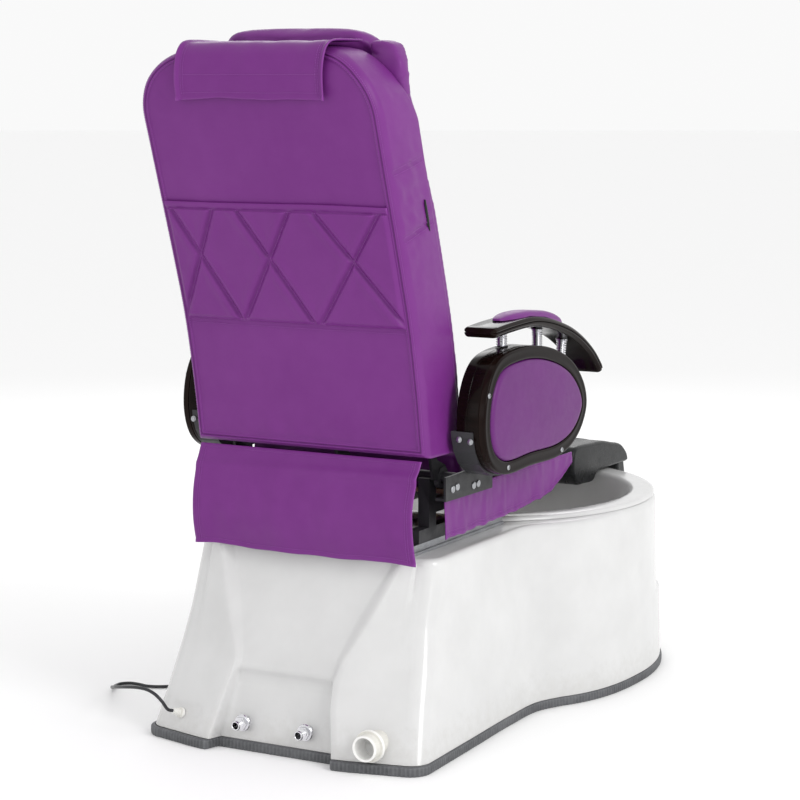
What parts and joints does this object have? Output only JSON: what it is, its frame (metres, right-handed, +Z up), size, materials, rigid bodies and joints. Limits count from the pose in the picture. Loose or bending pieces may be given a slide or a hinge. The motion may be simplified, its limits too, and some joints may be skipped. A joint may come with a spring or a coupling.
{
  "type": "pedicure spa chair",
  "caption": "Padded massage seat with swing-up armrests that slides and reclines on a moulded foot-spa base with basin, footrest, water inlets and drain.",
  "frame": {"origin": "on the floor, under the middle of the chair's bounding box (measured without the mains lead)", "axes": "+Z up, +X the sitter's left, -Y towards the foot basin (the way the sitter faces)"},
  "size_m": [1.0315, 1.494, 1.477],
  "materials": {
    "gelcoat": "glossy white gel coat",
    "trim_rubber": "satin ribbed rubber",
    "chrome": "polished chrome plate",
    "white_plastic": "satin white PVC",
    "black_plastic": "glossy black moulded plastic",
    "cord_rubber": "satin black cable jacket",
    "black_steel": "satin black powder coat",
    "bright_steel": "brushed steel",
    "plywood": "bare plywood",
    "vinyl": "satin purple upholstery vinyl",
    "roller_rubber": "matte black rubber",
    "dark_wood": "very dark brown gloss lacquer"
  },
  "bodies": {
    "base": {"base_shell": "gelcoat", "basin": "gelcoat", "base_trim": "trim_rubber", "jet_left": "chrome", "jet_right": "chrome", "drain_fitting": "chrome", "inlet_left": "chrome", "inlet_right": "chrome", "drain_pipe": "white_plastic", "drain_line": "white_plastic", "cord_gland": "white_plastic", "pump_motor": "black_plastic", "power_cord": "cord_rubber", "cord_coil": "cord_rubber", "power_plug": "cord_rubber", "rail_left": "black_steel", "rail_right": "black_steel", "footrest_bracket": "black_steel", "tap_body": "chrome"},
    "seat": {"seat_frame": "black_steel", "seat_pan": "plywood", "seat_cushion": "vinyl", "seat_skirt_left": "vinyl", "seat_skirt_right": "vinyl", "arm_bracket_left": "black_steel", "arm_bracket_right": "black_steel", "recline_actuator": "black_steel", "rear_skirt": "vinyl"},
    "recline_rod": {"recline_rod": "bright_steel"},
    "backrest": {"back_frame": "black_steel", "back_cover": "vinyl", "back_cushion": "vinyl", "pocket_panel": "vinyl", "head_pillow": "vinyl", "pillow_flap": "vinyl", "massage_screw": "bright_steel"},
    "massage_carriage": {"massage_carriage": "black_plastic"},
    "massage_roller_left": {"massage_roller_left": "roller_rubber"},
    "massage_roller_right": {"massage_roller_right": "roller_rubber"},
    "arm_left": {"arm_drum_left": "dark_wood", "arm_ring_left": "dark_wood", "arm_side_pad_left": "vinyl", "arm_strap_left": "black_steel", "arm_top_left": "dark_wood", "arm_pad_left": "vinyl", "arm_post_1_left": "chrome", "arm_post_2_left": "chrome", "arm_post_3_left": "chrome"},
    "arm_right": {"arm_drum_right": "dark_wood", "arm_ring_right": "dark_wood", "arm_side_pad_right": "vinyl", "arm_strap_right": "black_steel", "arm_top_right": "dark_wood", "arm_pad_right": "vinyl", "arm_post_1_right": "chrome", "arm_post_2_right": "chrome", "arm_post_3_right": "chrome"},
    "footrest": {"footrest": "black_plastic"},
    "drain_stopper": {"drain_stopper": "chrome"},
    "tap_lever": {"tap_lever": "chrome"}
  },
  "joints": [
    {"name": "seat_slide", "type": "slide", "parent": "base", "child": "seat", "axis": [0, 1, 0], "range_m": [0, 0.1]},
    {"name": "recline", "type": "hinge", "parent": "seat", "child": "backrest", "pos_m": [0, 0.4, 0.56], "axis": [-1, 0, 0], "range_deg": [0, 24], "deforming": ["rear_skirt"]},
    {"name": "recline_rod_travel", "type": "slide", "parent": "seat", "child": "recline_rod", "axis": [0, 1, 0], "range_m": [-0.041, 0]},
    {"name": "massage_travel", "type": "slide", "parent": "backrest", "child": "massage_carriage", "axis": [0, 0.2656, 0.9641], "range_m": [-0.15, 0.15]},
    {"name": "roller_left_spin", "type": "hinge", "parent": "massage_carriage", "child": "massage_roller_left", "pos_m": [0.07, 0.54309, 0.99226], "axis": [1, 0, 0], "continuous": true},
    {"name": "roller_right_spin", "type": "hinge", "parent": "massage_carriage", "child": "massage_roller_right", "pos_m": [-0.07, 0.54309, 0.99226], "axis": [1, 0, 0], "continuous": true},
    {"name": "arm_left_swing", "type": "hinge", "parent": "seat", "child": "arm_left", "pos_m": [0.295, 0.335, 0.588], "axis": [-1, 0, 0], "range_deg": [0, 70]},
    {"name": "arm_right_swing", "type": "hinge", "parent": "seat", "child": "arm_right", "pos_m": [-0.295, 0.335, 0.588], "axis": [-1, 0, 0], "range_deg": [0, 70]},
    {"name": "footrest_flip", "type": "hinge", "parent": "base", "child": "footrest", "pos_m": [0, -0.712, 0.394], "axis": [1, 0, 0], "range_deg": [0, 95]},
    {"name": "drain_stopper_lift", "type": "slide", "parent": "base", "child": "drain_stopper", "axis": [0, 0, 1], "range_m": [0, 0.008]},
    {"name": "tap_lever_turn", "type": "hinge", "parent": "base", "child": "tap_lever", "pos_m": [0.366, -0.23, 0.46], "axis": [0, 0, 1], "range_deg": [-45, 45]}
  ],
  "couplings": [
    {"joint": "recline_rod_travel", "follows": "recline", "m_per_rad": -0.096}
  ]
}
